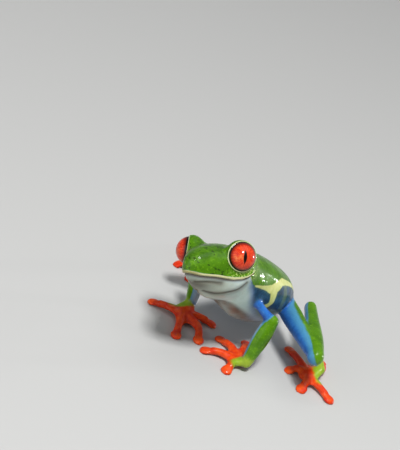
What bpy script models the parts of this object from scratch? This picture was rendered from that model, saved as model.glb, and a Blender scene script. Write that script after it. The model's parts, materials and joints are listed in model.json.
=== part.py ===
"""A life-size still model of a red-eyed tree frog, standing on a floor at z = 0.

The frog faces -Y, its left side is +X and +Z is up. It holds its head level with the
left side rolled up, its chest raised on both arms and its hind legs folded. Lengths
are in millimetres until the last step, which turns them into metres.
Each limb, digit, eye and length of the body is one closed solid, and neighbours are
parted by a thin cut.
"""
import math

import bmesh
import bpy
import numpy as np
from mathutils import Matrix, Vector

MM = 0.001
CUT = 0.3                    # width of the gap between two neighbouring solids
WELD = 0.01                  # corners closer than this become one
CREASE = 40                  # degrees; softer edges are shaded smooth

# ---- body: the line from the snout to the vent ---------------------------------------
HEAD = Vector((0.3, -13.3, 26.8))          # middle of the head, between the jaw angles
HEAD_PITCH = 13.0                          # degrees, snout up
HEAD_ROLL = 28.5                           # degrees, left side up
PELVIS_ROLL = 7.0
SNOUT_REACH = 10.6                         # from the middle of the head to the snout
SNOUT_DROP = 0.9                           # the snout lies this much under the head's line
NECK_REACH = 7.0                           # from the middle of the head back to the neck
BACK_LINE = ((1.1, 0.5, 22.2), (1.5, 9.3, 17.4), (1.3, 20.0, 11.6), (1.2, 26.8, 8.4))
NECK_AT = 18.6                             # distances from the snout, along the line
LOIN_AT = 38.0
BODY_SIDES = 28
CORNER_CROWD = 0.09                        # draws the sides towards the rounded corners
BODY_RINGS = 29
CURVE_SAMPLES = 400                        # fine steps that the rings are shared out over
SNOUT_CROWD, EYE_CROWD, VENT_CROWD = 2.5, 1.7, 1.2   # the rings lie closer together there
SNOUT_FADE, VENT_FADE = 1.5, 3.0           # and thin out over these lengths
SLOPE_STEP = 0.2                           # the line's direction is taken over this length
# distance from the snout, half width, height above and depth below the line
BODY_SHAPE = (
    (0.0, 0.5, 0.9, 0.7), (0.6, 1.6, 2.3, 1.7), (1.8, 2.6, 3.5, 2.9), (3.4, 3.6, 4.2, 4.2),
    (5.6, 4.9, 4.9, 5.8), (8.2, 6.4, 5.3, 7.3), (11.0, 7.9, 5.5, 8.3), (14.0, 9.0, 5.5, 8.7),
    (17.0, 9.2, 5.3, 9.0), (20.0, 8.6, 5.4, 9.8), (25.5, 8.2, 6.0, 11.0), (34.0, 8.6, 6.4, 11.2),
    (42.0, 7.5, 5.9, 9.8), (48.5, 5.2, 4.2, 4.7), (52.8, 2.7, 2.3, 2.1), (54.3, 0.9, 0.8, 0.8))
BACK_SQUARENESS = 2.15                     # 2 is an ellipse, more is boxier
BELLY_SQUARENESS = 1.8                     # under 2 narrows towards the keel
MOUTH_DROP = 2.5                           # the mouth lies this far under the head's line

# ---- eyes ----------------------------------------------------------------------------
EYE_RADIUS = 3.75
EYE_BACK = 1.5                             # behind the middle of the head
EYE_ASIDE = 7.7
EYE_UP = 3.1
EYES_AT = SNOUT_REACH + EYE_BACK           # distance of the eyes from the snout, along the line
EYE_TURN = 57.0                            # degrees from straight ahead
EYE_TILT = 4.0                             # degrees upward
LID_ANGLE = 77.0                           # opening of the lids, from the eye's axis
ORBIT_WALL = 0.78                          # skin and bone round the eyeball
LID_FLARE = 3.4                            # the rims of the lids slope back this far
LID_SLOPE = 0.65                           # and stand out this much for each mm of it
BROW_SOFTNESS = 1.2                        # rounds the join of brow and skull, in square mm
BROW_SINK = 0.12
BROW_FALL = 3.0                            # slope of the brow past the orbit's outline
BROW_DEPTH = 3.0                           # no brow where the orbit lies deeper than this
EYE_POLE, EYE_RINGS, EYE_SIDES = 0.28, 9, 16         # the pole's angle is in radians
POLE_RADIUS = 0.05
SOCKET_POLE, SOCKET_RINGS, SOCKET_SIDES = 0.2, 7, 20
SOCKET_OVERSHOOT = 1.0                     # its cutter ends this far outside the lids

# ---- limbs: joints, and half widths from one joint to the next -------------------------
LEFT_ARM = ((6.7, -5.2, 22.4), (13.2, 2.8, 14.3), (14.1, -1.0, 2.7))
RIGHT_ARM = ((-3.6, -5.6, 18.6), (-11.6, 1.6, 15.6), (-11.6, 3.6, 3.1))
LEFT_LEG = ((5.6, 20.0, 11.4), (27.6, 7.2, 12.0), (10.3, 25.8, 10.6), (25.2, 17.3, 3.2))
RIGHT_LEG = ((-2.6, 21.8, 10.0), (-20.4, 6.0, 13.5), (-10.4, 29.6, 8.4), (-22.2, 22.6, 2.4))
UPPER_ARM_GIRTH = (1.5, 1.15, 1.15, 1.5)
FOREARM_GIRTH = (1.85, 2.2, 2.2, 1.85, 1.5)
THIGH_GIRTH = (2.7, 2.95, 2.7, 2.3, 1.95)
SHANK_GIRTH = (2.3, 2.6, 2.4, 2.0, 1.75)
TARSUS_GIRTH = (1.4, 1.15, 1.1, 1.2)
THIGH_FLATNESS, SHANK_FLATNESS = 0.92, 0.95          # width over height
LIMB_SIDES = 10
DOME = (18, 48, 72)                        # degrees from the pole of a limb's round end

# ---- hands and feet: where the pad turns, its middle, then a bend and a tip per digit ----
LEFT_PALM = ((12.9, -1.1, 1.9), (11.2, -1.0))
LEFT_FINGERS = {"finger_1": ((8.8, 3.7), (6.1, 8.4)), "finger_2": ((6.8, 1.6), (1.9, 2.4)),
                "finger_3": ((7.1, -3.2), (3.9, -6.0)), "finger_4": ((12.0, -4.3), (12.6, -6.5))}
RIGHT_PALM = ((-11.2, 2.2, 1.9), (-10.1, -0.1))
RIGHT_FINGERS = {"finger_1": ((-6.6, 3.2), (-4.0, 5.2)), "finger_2": ((-4.9, -0.5), (0.0, -4.6)),
                 "finger_3": ((-7.6, -4.4), (-3.9, -9.2)), "finger_4": ((-13.6, -2.8), (-17.6, -4.7))}
LEFT_SOLE = ((25.0, 16.1, 2.0), (23.8, 15.1))
LEFT_TOES = {"toe_1": ((17.6, 17.4), (13.0, 19.6)), "toe_2": ((20.9, 14.0), (19.2, 12.0)),
             "toe_3": ((25.2, 11.6), (26.7, 8.8)), "toe_4": ((28.0, 13.8), (32.9, 13.1)),
             "toe_5": ((24.3, 19.4), (20.6, 24.2))}
RIGHT_SOLE = ((-23.8, 21.4, 1.9), (-25.8, 20.0))
RIGHT_TOES = {"toe_1": ((-22.0, 19.0), (-18.8, 19.4)), "toe_2": ((-24.0, 17.4), (-22.0, 15.0)),
              "toe_3": ((-27.6, 18.4), (-29.0, 16.8)), "toe_4": ((-29.6, 23.6), (-33.6, 28.0)),
              "toe_5": ((-26.8, 24.6), (-28.6, 29.2))}
PALM_WIDTH = 3.1                           # half widths
PALM_HEIGHT = 1.25
PAW_WIDTHS = (1.3, 2.3, PALM_WIDTH, 1.2)   # at the joint, the turn, the middle and the front
PAW_HEIGHTS = (1.1, 1.2, PALM_HEIGHT, 0.7)
PALM_FRONT = 0.8 * PALM_WIDTH              # the front lies this far past the middle
PAW_RINGS, PAW_SIDES = 9, 12
DIGIT_GIRTH = (1.4, 1.25, 1.1, 1.0, 1.1)
DIGIT_ARCH = 0.55                          # rise of the middle of a digit
DIGIT_FLATNESS = 0.95                      # height over width
DIGIT_SIDES, SHAFT_RINGS = 8, 4
BEND_RISE = 0.75                           # height of the bend, as a share of the palm's
DISC_RADIUS = 1.6
DISC_HEIGHT = 0.68
DISC_TURNS = (56, 102, 152)                # degrees round the disc from its far side
DISC_BULGE = 0.5                           # under 1 keeps the disc high towards its rim
DISC_LEVEL = 0.5                           # share of the digit's slope that its rings keep
SHAFT_STOP = 1.1 * DISC_RADIUS             # the shaft ends this far before the disc's middle
FLOOR_PRESS = 0.16                         # soft pads flattened by this much

# ---- finishes: material name, colour and roughness ---------------------------------------
FINISHES = {
    "green": ("leaf_green_skin", (0.10, 0.36, 0.02), 0.35),
    "pale": ("pale_throat_skin", (0.55, 0.60, 0.62), 0.35),
    "flank": ("blue_flank_skin", (0.03, 0.13, 0.52), 0.35),
    "orange": ("orange_foot_skin", (0.72, 0.07, 0.01), 0.35),
    "eye": ("red_iris", (0.68, 0.03, 0.01), 0.05),
}


def smooth(keys, values, at):
    """Cubic curve through the values at the keys, with mean slopes at each key."""
    keys = np.asarray(keys, float)
    values = np.asarray(values, float).reshape(len(keys), -1)
    slopes = np.gradient(values, keys, axis=0)
    at = np.clip(np.atleast_1d(at), keys[0], keys[-1])
    i = np.clip(np.searchsorted(keys, at, side="right") - 1, 0, len(keys) - 2)
    span = (keys[i + 1] - keys[i])[:, None]
    t = (at - keys[i])[:, None] / span
    a = 2 * t**3 - 3 * t**2 + 1
    b = t**3 - 2 * t**2 + t
    c = 3 * t**2 - 2 * t**3
    d = t**3 - t**2
    return a * values[i] + b * span * slopes[i] + c * values[i + 1] + d * span * slopes[i + 1]


def unit(rows):
    return rows / np.linalg.norm(rows, axis=-1, keepdims=True)


# ---- the head's own directions -----------------------------------------------------------
def frame_of(forward, roll):
    """Forward, left and up, with the left side raised by the roll in degrees."""
    flat_left = unit(np.cross((0, 0, 1), forward))
    level_up = np.cross(forward, flat_left)
    turn = np.radians(roll)[..., None]
    left = flat_left * np.cos(turn) + level_up * np.sin(turn)
    return left, np.cross(forward, left)


PITCH = math.radians(HEAD_PITCH)
FORWARD = Vector((0, -math.cos(PITCH), math.sin(PITCH)))
HEAD_LEFT, HEAD_UP = (Vector(v) for v in frame_of(np.array(FORWARD), np.array(HEAD_ROLL)))
SPINE = np.array([HEAD + FORWARD * SNOUT_REACH - HEAD_UP * SNOUT_DROP, HEAD, HEAD - FORWARD * NECK_REACH,
                  *(Vector(p) for p in BACK_LINE)])
SPINE_AT = np.concatenate(([0], np.cumsum(np.linalg.norm(np.diff(SPINE, axis=0), axis=1))))


def body_frames(at):
    """Place and the forward, left and up directions at distances from the snout."""
    at = np.minimum(at, SPINE_AT[-1])
    place = smooth(SPINE_AT, SPINE, at)
    step = smooth(SPINE_AT, SPINE, at - SLOPE_STEP) - smooth(SPINE_AT, SPINE, at + SLOPE_STEP)
    forward = unit(step)
    easing = np.clip((at - NECK_AT) / (LOIN_AT - NECK_AT), 0, 1)
    roll = HEAD_ROLL + (PELVIS_ROLL - HEAD_ROLL) * easing**2 * (3 - 2 * easing)
    left, up = frame_of(forward, roll)
    return place, forward, left, up


def eye_axis(side):
    """Direction that an eye looks in; side is 1 for the left one and -1 for the right."""
    turn = math.radians(EYE_TURN)
    tilt = math.radians(EYE_TILT)
    flat = FORWARD * math.cos(turn) + HEAD_LEFT * (side * math.sin(turn))
    return flat * math.cos(tilt) + HEAD_UP * math.sin(tilt)


def eye_centre(side):
    return HEAD - FORWARD * EYE_BACK + HEAD_LEFT * (side * EYE_ASIDE) + HEAD_UP * EYE_UP


def swell_over_eyes(place, points):
    """Push the head's rings out over a sphere round each eye, blended into the skull."""
    for side in (-1, 1):
        centre = np.array(eye_centre(side))
        radius = EYE_RADIUS + ORBIT_WALL
        ray = points - place[:, None]
        reach = np.linalg.norm(ray, axis=2)
        ray = ray / reach[..., None]
        to_centre = centre - place[:, None]
        along = (to_centre * ray).sum(axis=2)
        off = np.sqrt(np.maximum((to_centre**2).sum(axis=2) - along**2, 0))
        hit = along + np.sqrt(np.maximum(radius**2 - off**2, 0))
        hit -= BROW_FALL * np.maximum(off - radius, 0)
        blended = (reach + hit + np.sqrt((reach - hit)**2 + BROW_SOFTNESS)) / 2 - BROW_SINK
        swollen = np.where(hit > reach - BROW_DEPTH, np.maximum(blended, reach), reach)
        points = place[:, None] + ray * swollen[..., None]
    return points


def body_rings():
    """Rounded-square cross-sections carried along the line of the back."""
    end = BODY_SHAPE[-1][0]
    fine = np.linspace(0, end, CURVE_SAMPLES)
    crowd = 1 + EYE_CROWD * np.exp(-((fine - EYES_AT) / EYE_RADIUS)**2)
    crowd += SNOUT_CROWD * np.exp(-fine / SNOUT_FADE) + VENT_CROWD * np.exp((fine - end) / VENT_FADE)
    share = np.concatenate(([0], np.cumsum(crowd[1:] + crowd[:-1])))
    at = np.interp(np.linspace(0, share[-1], BODY_RINGS), share, fine)
    shape = np.array(BODY_SHAPE)
    wide, high, deep = smooth(shape[:, 0], shape[:, 1:], at).T
    place, _, left, up = body_frames(at)
    a = np.linspace(0, 2 * math.pi, BODY_SIDES, endpoint=False)
    a += CORNER_CROWD * np.sin(4 * a)
    power = np.where(np.sin(a) >= 0, 2 / BACK_SQUARENESS, 2 / BELLY_SQUARENESS)
    across = np.sign(np.cos(a)) * np.abs(np.cos(a))**power
    rise = np.sign(np.sin(a)) * np.abs(np.sin(a))**power
    tall = np.where(rise > 0, high[:, None], deep[:, None]) * rise
    rings = (place[:, None] + left[:, None] * (wide[:, None] * across)[..., None]
             + up[:, None] * tall[..., None])
    return swell_over_eyes(place, rings)


# ---- solids --------------------------------------------------------------------------------
def closed_loft(rings):
    """Join rings of points by quads and close both ends with a fan."""
    bm = bmesh.new()
    rows = [[bm.verts.new(p) for p in ring] for ring in rings]
    count = len(rows[0])
    for low, high in zip(rows, rows[1:]):
        for k in range(count):
            bm.faces.new((low[k], low[(k + 1) % count], high[(k + 1) % count], high[k]))
    for row in (rows[0], rows[-1]):
        middle = bm.verts.new(sum((v.co for v in row), Vector()) / count)
        for k in range(count):
            bm.faces.new((row[k], row[(k + 1) % count], middle))
    bmesh.ops.recalc_face_normals(bm, faces=bm.faces)
    return bm


def slice_off(bm, point, normal):
    """Cut the solid by a plane, drop the side the normal points to and close the cut."""
    bmesh.ops.bisect_plane(bm, geom=bm.verts[:] + bm.edges[:] + bm.faces[:], dist=1e-5,
                           plane_co=point, plane_no=normal, clear_outer=True)
    rim = [e for e in bm.edges if e.is_boundary]
    if rim:
        bmesh.ops.holes_fill(bm, edges=rim, sides=0)
    bmesh.ops.recalc_face_normals(bm, faces=bm.faces)


def part_joint(bm, joint, away, other):
    """Cut a limb at its joint by the plane halfway between it and its neighbour.

    away and other are the directions from the joint along the two limbs.
    """
    normal = (other.normalized() - away.normalized()).normalized()
    slice_off(bm, joint - normal * (CUT / 2), normal)


def finish(bm, name, material, guide=False):
    """Turn a bmesh in millimetres into an object in metres."""
    bmesh.ops.remove_doubles(bm, verts=bm.verts, dist=WELD)
    bmesh.ops.triangulate(bm, faces=bm.faces)
    bmesh.ops.scale(bm, vec=(MM, MM, MM), verts=bm.verts)
    mesh = bpy.data.meshes.new(name)
    bm.to_mesh(mesh)
    bm.free()
    mesh.shade_smooth()
    mesh.set_sharp_from_angle(angle=math.radians(CREASE))
    mesh.materials.append(material)
    thing = bpy.data.objects.new(name, mesh)
    bpy.context.scene.collection.objects.link(thing)
    if guide:
        thing.hide_render = True
        thing.display_type = "WIRE"
    return thing


def carve(thing, cutter):
    """Leave the usual gap round a neighbour by a Boolean with its enlarged copy."""
    cut = thing.modifiers.new("clear_of_" + cutter.name, "BOOLEAN")
    cut.operation = "DIFFERENCE"
    cut.solver = "EXACT"
    cut.object = cutter


def skin_colour(name, colour, roughness):
    material = bpy.data.materials.new(name)
    material.use_nodes = True
    shader = material.node_tree.nodes["Principled BSDF"]
    shader.inputs["Base Color"].default_value = (*colour, 1)
    shader.inputs["Roughness"].default_value = roughness
    shader.inputs["Metallic"].default_value = 0
    material.diffuse_color = (*colour, 1)
    return material


# ---- body and eyes ---------------------------------------------------------------------------
def body_length(start, stop, grow=0.0):
    """The body between two planes across its line; grow enlarges it all round."""
    rings = body_rings()
    if grow:
        centre = rings.mean(axis=1, keepdims=True)
        rings = rings + unit(rings - centre) * grow
    bm = closed_loft(rings)
    for at, facing in ((start, 1), (stop, -1)):
        if at is not None:
            place, forward, _, _ = body_frames(np.array([float(at)]))
            normal = Vector(forward[0]) * facing
            slice_off(bm, Vector(place[0]) - normal * (CUT / 2), normal)
    return bm


def part_mouth(bm, keep_upper):
    """Part the head from the lower jaw and throat by a plane along the mouth."""
    normal = HEAD_UP * (-1 if keep_upper else 1)
    slice_off(bm, HEAD - HEAD_UP * MOUTH_DROP - normal * (CUT / 2), normal)


def turned(centre, axis, profile, sides):
    """Turn (along, radius) pairs about an axis and close both ends."""
    across = axis.orthogonal().normalized()
    above = axis.cross(across)
    rings = []
    for along, radius in profile:
        rings.append([centre + axis * along + (across * math.cos(a) + above * math.sin(a)) * radius
                      for a in np.linspace(0, 2 * math.pi, sides, endpoint=False)])
    return closed_loft(rings)


def eyeball(side):
    profile = [(-EYE_RADIUS * math.cos(t), EYE_RADIUS * math.sin(t))
               for t in np.linspace(EYE_POLE, math.pi - EYE_POLE, EYE_RINGS)]
    profile = [(-EYE_RADIUS, POLE_RADIUS)] + profile + [(EYE_RADIUS, POLE_RADIUS)]
    return turned(eye_centre(side), eye_axis(side), profile, EYE_SIDES)


def socket_cutter(side):
    """The enlarged eyeball, carried on outward by a flared mouth."""
    radius = EYE_RADIUS + CUT
    lid = math.radians(180 - LID_ANGLE)
    profile = [(-radius * math.cos(t), radius * math.sin(t))
               for t in np.linspace(SOCKET_POLE, lid, SOCKET_RINGS)]
    along, wide = profile[-1]
    profile.append((along + LID_FLARE * LID_SLOPE, wide + LID_FLARE))
    profile.append((EYE_RADIUS + ORBIT_WALL + SOCKET_OVERSHOOT, wide + LID_FLARE))
    return turned(eye_centre(side), eye_axis(side), profile, SOCKET_SIDES)


# ---- limbs -----------------------------------------------------------------------------------
def limb(start, stop, girth, flatness=1.0):
    """A round-ended limb from joint to joint, its half width eased through the girths."""
    start, stop = Vector(start), Vector(stop)
    axis = (stop - start).normalized()
    length = (stop - start).length
    upward = (Vector((0, 0, 1)) - axis * axis.z).normalized()
    sideways = axis.cross(upward)
    dome = np.radians(DOME)
    at = np.linspace(0, 1, 2 * len(girth) - 1)
    half = smooth(np.linspace(0, 1, len(girth)), girth, at)[:, 0]
    stations = [(-girth[0] * math.cos(t), girth[0] * math.sin(t)) for t in dome]
    stations += [(a * length, r) for a, r in zip(at, half)]
    stations += [(length + girth[-1] * math.cos(t), girth[-1] * math.sin(t)) for t in dome[::-1]]
    rings = []
    for along, r in stations:
        rings.append([start + axis * along + sideways * (r * flatness * math.cos(a))
                      + upward * (r * math.sin(a))
                      for a in np.linspace(0, 2 * math.pi, LIMB_SIDES, endpoint=False)])
    return closed_loft(rings)


def add_arm(side, joints, trunk_cutter, material):
    shoulder, elbow, wrist = (Vector(p) for p in joints)
    upper = limb(shoulder, elbow, UPPER_ARM_GIRTH)
    part_joint(upper, elbow, shoulder - elbow, wrist - elbow)
    carve(finish(upper, side + "_upper_arm", material["flank"]), trunk_cutter)
    lower = limb(elbow, wrist, FOREARM_GIRTH)
    part_joint(lower, elbow, wrist - elbow, shoulder - elbow)
    return lower


def add_leg(side, joints, trunk_cutter, material):
    hip, knee, heel, ankle = (Vector(p) for p in joints)
    thigh = limb(hip, knee, THIGH_GIRTH, THIGH_FLATNESS)
    part_joint(thigh, knee, hip - knee, heel - knee)
    carve(finish(thigh, side + "_thigh", material["flank"]), trunk_cutter)
    shank = limb(knee, heel, SHANK_GIRTH, SHANK_FLATNESS)
    part_joint(shank, knee, heel - knee, hip - knee)
    part_joint(shank, heel, knee - heel, ankle - heel)
    carve(finish(shank, side + "_shank", material["green"]), trunk_cutter)
    tarsus = limb(heel, ankle, TARSUS_GIRTH)
    part_joint(tarsus, heel, ankle - heel, knee - heel)
    return tarsus


# ---- hands and feet ------------------------------------------------------------------------------
def paw(via, centre, joint, grow=0.0):
    """A low rounded pad from the wrist or ankle to the roots of the digits."""
    middle = Vector((*centre, PALM_HEIGHT - FLOOR_PRESS))
    joint = Vector(joint)
    reach = middle - Vector(via)
    reach.z = 0
    front = middle + reach.normalized() * PALM_FRONT
    path = np.array([joint, via, middle, front])
    at = np.linspace(0, 1, PAW_RINGS)
    length = np.linalg.norm(np.diff(path, axis=0), axis=1)
    keys = np.concatenate(([0], np.cumsum(length))) / length.sum()
    place = smooth(keys, path, at)
    wide = smooth(keys, PAW_WIDTHS, at)[:, 0] + grow
    high = smooth(keys, PAW_HEIGHTS, at)[:, 0] + grow
    forward = unit(np.gradient(place, axis=0))
    sideways = unit(np.cross((0, 0, 1), forward))
    upward = np.cross(forward, sideways)
    a = np.linspace(0, 2 * math.pi, PAW_SIDES, endpoint=False)
    rings = (place[:, None] + sideways[:, None] * (wide[:, None] * np.cos(a))[..., None]
             + upward[:, None] * (high[:, None] * np.sin(a))[..., None])
    return closed_loft(rings)


def digit(centre, bend, tip):
    """A slender digit that arches from the palm to a round flat disc on the floor."""
    ground = PALM_HEIGHT - FLOOR_PRESS
    path = np.array([(*centre, ground), (*bend, ground * BEND_RISE + DIGIT_ARCH),
                     (*tip, DISC_HEIGHT - FLOOR_PRESS)])
    length = np.linalg.norm(np.diff(path, axis=0), axis=1)
    keys = np.concatenate(([0], np.cumsum(length))) / length.sum()
    total = length.sum()
    shaft = np.linspace(0, 1 - SHAFT_STOP / total, SHAFT_RINGS)
    girth = smooth(np.linspace(0, 1, len(DIGIT_GIRTH)), DIGIT_GIRTH, shaft / shaft[-1])[:, 0]
    turn = np.radians(DISC_TURNS)
    disc = 1 - DISC_RADIUS * np.cos(turn) / total
    at = np.concatenate((shaft, disc))
    wide = np.concatenate((girth, DISC_RADIUS * np.sin(turn)))
    high = np.concatenate((girth * DIGIT_FLATNESS, DISC_HEIGHT * np.sin(turn)**DISC_BULGE))
    place = smooth(keys, path, at)
    beyond = np.maximum(at - 1, 0) * total
    heading = unit(path[-1] - path[-2])
    place = place + heading * beyond[:, None]
    forward = unit(np.gradient(place, axis=0))
    forward[:, 2] *= DISC_LEVEL
    forward = unit(forward)
    sideways = unit(np.cross((0, 0, 1), forward))
    upward = np.cross(forward, sideways)
    a = np.linspace(0, 2 * math.pi, DIGIT_SIDES, endpoint=False) + math.pi / DIGIT_SIDES
    rings = (place[:, None] + sideways[:, None] * (wide[:, None] * np.cos(a))[..., None]
             + upward[:, None] * (high[:, None] * np.sin(a))[..., None])
    return closed_loft(rings)


def add_paw(side, kind, pad_shape, joint, digits, limb_end, limb_name, material):
    """The palm or sole, its digits and the limb that ends there, parted from each other."""
    floor = Vector((0, 0, 0))
    down = Vector((0, 0, -1))
    via, centre = pad_shape
    pad = paw(via, centre, joint)
    slice_off(pad, floor, down)
    finish(pad, side + "_" + kind, material["orange"])
    cutter = finish(paw(via, centre, joint, CUT), side + "_" + kind + "_clearance",
                    material["orange"], guide=True)
    carve(finish(limb_end, limb_name, material["green"]), cutter)
    middle = Vector(centre)
    order = sorted(digits, key=lambda name: math.atan2(digits[name][0][1] - centre[1],
                                                       digits[name][0][0] - centre[0]))
    for k, name in enumerate(order):
        bm = digit(centre, *digits[name])
        own = (Vector(digits[name][0]) - middle).normalized()
        for other in (order[k - 1], order[(k + 1) % len(order)]):
            towards = (Vector(digits[other][0]) - middle).normalized()
            apart = (towards - own).to_3d().normalized()
            slice_off(bm, middle.to_3d() - apart * (CUT / 2), apart)
        slice_off(bm, floor, down)
        carve(finish(bm, side + "_" + name, material["orange"]), cutter)


def centre_on_floor():
    """Move everything so that the middle of the outline is over the origin."""
    shown = [thing for thing in bpy.data.objects if not thing.hide_render]
    corners = np.array([tuple(v.co) for thing in shown for v in thing.data.vertices])
    middle = (corners.min(axis=0) + corners.max(axis=0)) / 2
    shift = Matrix.Translation((-middle[0], -middle[1], 0))
    for thing in bpy.data.objects:
        thing.data.transform(shift)


def build():
    for thing in list(bpy.data.objects):
        bpy.data.objects.remove(thing, do_unlink=True)
    material = {key: skin_colour(*finish_of) for key, finish_of in FINISHES.items()}
    head = body_length(None, NECK_AT)
    part_mouth(head, keep_upper=True)
    head = finish(head, "head", material["green"])
    throat = body_length(None, NECK_AT)
    part_mouth(throat, keep_upper=False)
    throat = finish(throat, "throat", material["pale"])
    for side, name in ((1, "left"), (-1, "right")):
        finish(eyeball(side), name + "_eye", material["eye"])
        cutter = finish(socket_cutter(side), name + "_eye_clearance", material["eye"], guide=True)
        carve(head, cutter)
    finish(body_length(NECK_AT, None), "trunk", material["green"])
    body_cutter = finish(body_length(None, None, CUT), "body_clearance", material["pale"],
                         guide=True)
    arms = (("left", LEFT_ARM, LEFT_PALM, LEFT_FINGERS),
            ("right", RIGHT_ARM, RIGHT_PALM, RIGHT_FINGERS))
    for side, joints, palm, fingers in arms:
        forearm = add_arm(side, joints, body_cutter, material)
        add_paw(side, "hand", palm, joints[-1], fingers, forearm, side + "_forearm", material)
    legs = (("left", LEFT_LEG, LEFT_SOLE, LEFT_TOES),
            ("right", RIGHT_LEG, RIGHT_SOLE, RIGHT_TOES))
    for side, joints, sole, toes in legs:
        tarsus = add_leg(side, joints, body_cutter, material)
        add_paw(side, "foot", sole, joints[-1], toes, tarsus, side + "_tarsus", material)
    centre_on_floor()


build()
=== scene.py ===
# %% [markdown]
# # A life-size red-eyed tree frog
# The frog is a still model, 55 mm from snout to vent. Its solids, from the CAD model, give
# every size and place. This lesson lays one moist skin over them, sets the two red eyes in
# their sockets and lights the whole like a small museum piece.
# All working lengths are millimetres, because a frog is measured in them. They become
# Blender's metres only when a mesh is made.

# %% The frame
import json
import math

import bmesh
import bpy
import numpy as np
from mathutils import Matrix, Vector

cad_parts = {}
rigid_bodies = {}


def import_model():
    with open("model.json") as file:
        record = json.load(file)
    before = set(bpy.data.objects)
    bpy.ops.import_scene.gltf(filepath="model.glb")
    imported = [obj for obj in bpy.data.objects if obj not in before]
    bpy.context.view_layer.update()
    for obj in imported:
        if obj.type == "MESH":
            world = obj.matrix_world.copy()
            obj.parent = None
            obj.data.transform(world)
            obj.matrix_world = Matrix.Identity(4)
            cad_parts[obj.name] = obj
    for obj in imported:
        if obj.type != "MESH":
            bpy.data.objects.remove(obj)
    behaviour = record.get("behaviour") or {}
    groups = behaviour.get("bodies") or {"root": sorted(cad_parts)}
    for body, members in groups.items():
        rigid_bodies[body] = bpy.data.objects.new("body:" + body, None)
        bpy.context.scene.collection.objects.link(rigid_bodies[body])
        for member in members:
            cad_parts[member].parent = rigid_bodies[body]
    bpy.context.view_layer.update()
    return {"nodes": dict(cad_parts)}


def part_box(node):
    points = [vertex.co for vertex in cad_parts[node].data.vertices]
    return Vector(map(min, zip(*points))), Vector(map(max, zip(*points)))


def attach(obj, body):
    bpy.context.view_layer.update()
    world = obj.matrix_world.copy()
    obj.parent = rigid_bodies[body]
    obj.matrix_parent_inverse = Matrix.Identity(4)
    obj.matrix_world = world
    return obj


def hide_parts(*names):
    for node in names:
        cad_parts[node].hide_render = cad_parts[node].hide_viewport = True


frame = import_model()
MM = 0.001
SIDES = ("left", "right")
solid = {name: np.unique(np.round(np.array([tuple(v.co) for v in thing.data.vertices]) / MM, 3), axis=0)
         for name, thing in frame["nodes"].items()}


# %% [markdown]
# ## Where things are
# A limb's joint lies where its two solids meet, so the vertices of both that are closer
# than the cut between them, and a little more, surround it. At a knee that is folded right
# up the two solids touch along their whole side. There the joint is the far end of the
# limb, drawn in by its own half width.

# %% Finding joints, tips and eyes
def meeting(a, b, near=0.6):
    """Middle of the vertices of two solids that lie closer together than near."""
    gap = np.linalg.norm(solid[a][:, None] - solid[b][None], axis=2)
    touching = np.vstack((solid[a][gap.min(axis=1) < near], solid[b][gap.min(axis=0) < near]))
    return (touching.min(axis=0) + touching.max(axis=0)) / 2


def far_end(name, start, inset):
    """The vertex furthest from start, drawn back towards it by inset."""
    away = solid[name] - start
    reach = np.linalg.norm(away, axis=1)
    return start + away[reach.argmax()] * (1 - inset / reach.max())


def box_middle(name):
    low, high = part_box(name)
    return np.array(low + high) / 2 / MM


eye_centre = {side: box_middle(side + "_eye") for side in SIDES}
low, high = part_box("left_eye")
EYE_RADIUS = (high - low)[0] / 2 / MM
print("eye radius", round(EYE_RADIUS, 2), "left eye", eye_centre["left"].round(1),
      "right eye", eye_centre["right"].round(1))


# %% [markdown]
# ## The head's own directions
# Folds, lids and markings are easiest to state on the head itself: so far forward, so far
# left, so far up from its middle. The line between the eyes gives the left direction with
# its roll, the snout is raised by a known pitch, and up is square to both.

# %% Forward, left and up
HEAD_PITCH = 13.0  # degrees, snout up
EYE_BACK, EYE_UP = 1.5, 3.1


def unit(rows):
    rows = np.asarray(rows, float)
    return rows / np.linalg.norm(rows, axis=-1, keepdims=True)


LEFT = unit(eye_centre["left"] - eye_centre["right"])
pitch = math.radians(HEAD_PITCH)
FORWARD = np.array((0, -math.cos(pitch), math.sin(pitch)))
FORWARD = unit(FORWARD - LEFT * (FORWARD @ LEFT))
UP = np.cross(FORWARD, LEFT)
HEAD = (eye_centre["left"] + eye_centre["right"]) / 2 + FORWARD * EYE_BACK - UP * EYE_UP
HEAD_ROLL = math.degrees(math.atan2(LEFT[2], math.hypot(LEFT[0], LEFT[1])))


def on_head(points):
    """Forward, left and up distances of points from the middle of the head."""
    away = points - HEAD
    return away @ FORWARD, away @ LEFT, away @ UP


print("head at", HEAD.round(1), "rolled", round(HEAD_ROLL, 1), "degrees")


# %% [markdown]
# ## Profiles carried along a path
# A frog is made of rounded tubes: the body, the limbs and the digits. Each is worked out as
# a grid of points. One parameter runs along a curved path, the other round a cross-section
# whose half widths change along the way. The same cubic curve eases both the path and the
# widths, so nothing shows a corner.

# %% Curves and ramps
def eased(keys, values, at):
    """Cubic through numbers or rows of numbers at keys, with the mean slope at each key."""
    keys = np.asarray(keys, float)
    rows = np.asarray(values, float).reshape(len(keys), -1)
    slope = np.gradient(rows, keys, axis=0)
    at = np.clip(np.atleast_1d(at), keys[0], keys[-1])
    i = np.clip(np.searchsorted(keys, at, side="right") - 1, 0, len(keys) - 2)
    span = (keys[i + 1] - keys[i])[:, None]
    t = (at - keys[i])[:, None] / span
    curve = ((2 * t**3 - 3 * t**2 + 1) * rows[i] + (t**3 - 2 * t**2 + t) * span * slope[i]
             + (3 * t**2 - 2 * t**3) * rows[i + 1] + (t**3 - t**2) * span * slope[i + 1])
    return curve.reshape(len(at), *np.shape(values)[1:])


def spaced(values, share):
    """The same curve through evenly spaced values, at shares of the way from 0 to 1."""
    return eased(np.linspace(0, 1, len(values)), values, share)


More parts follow.
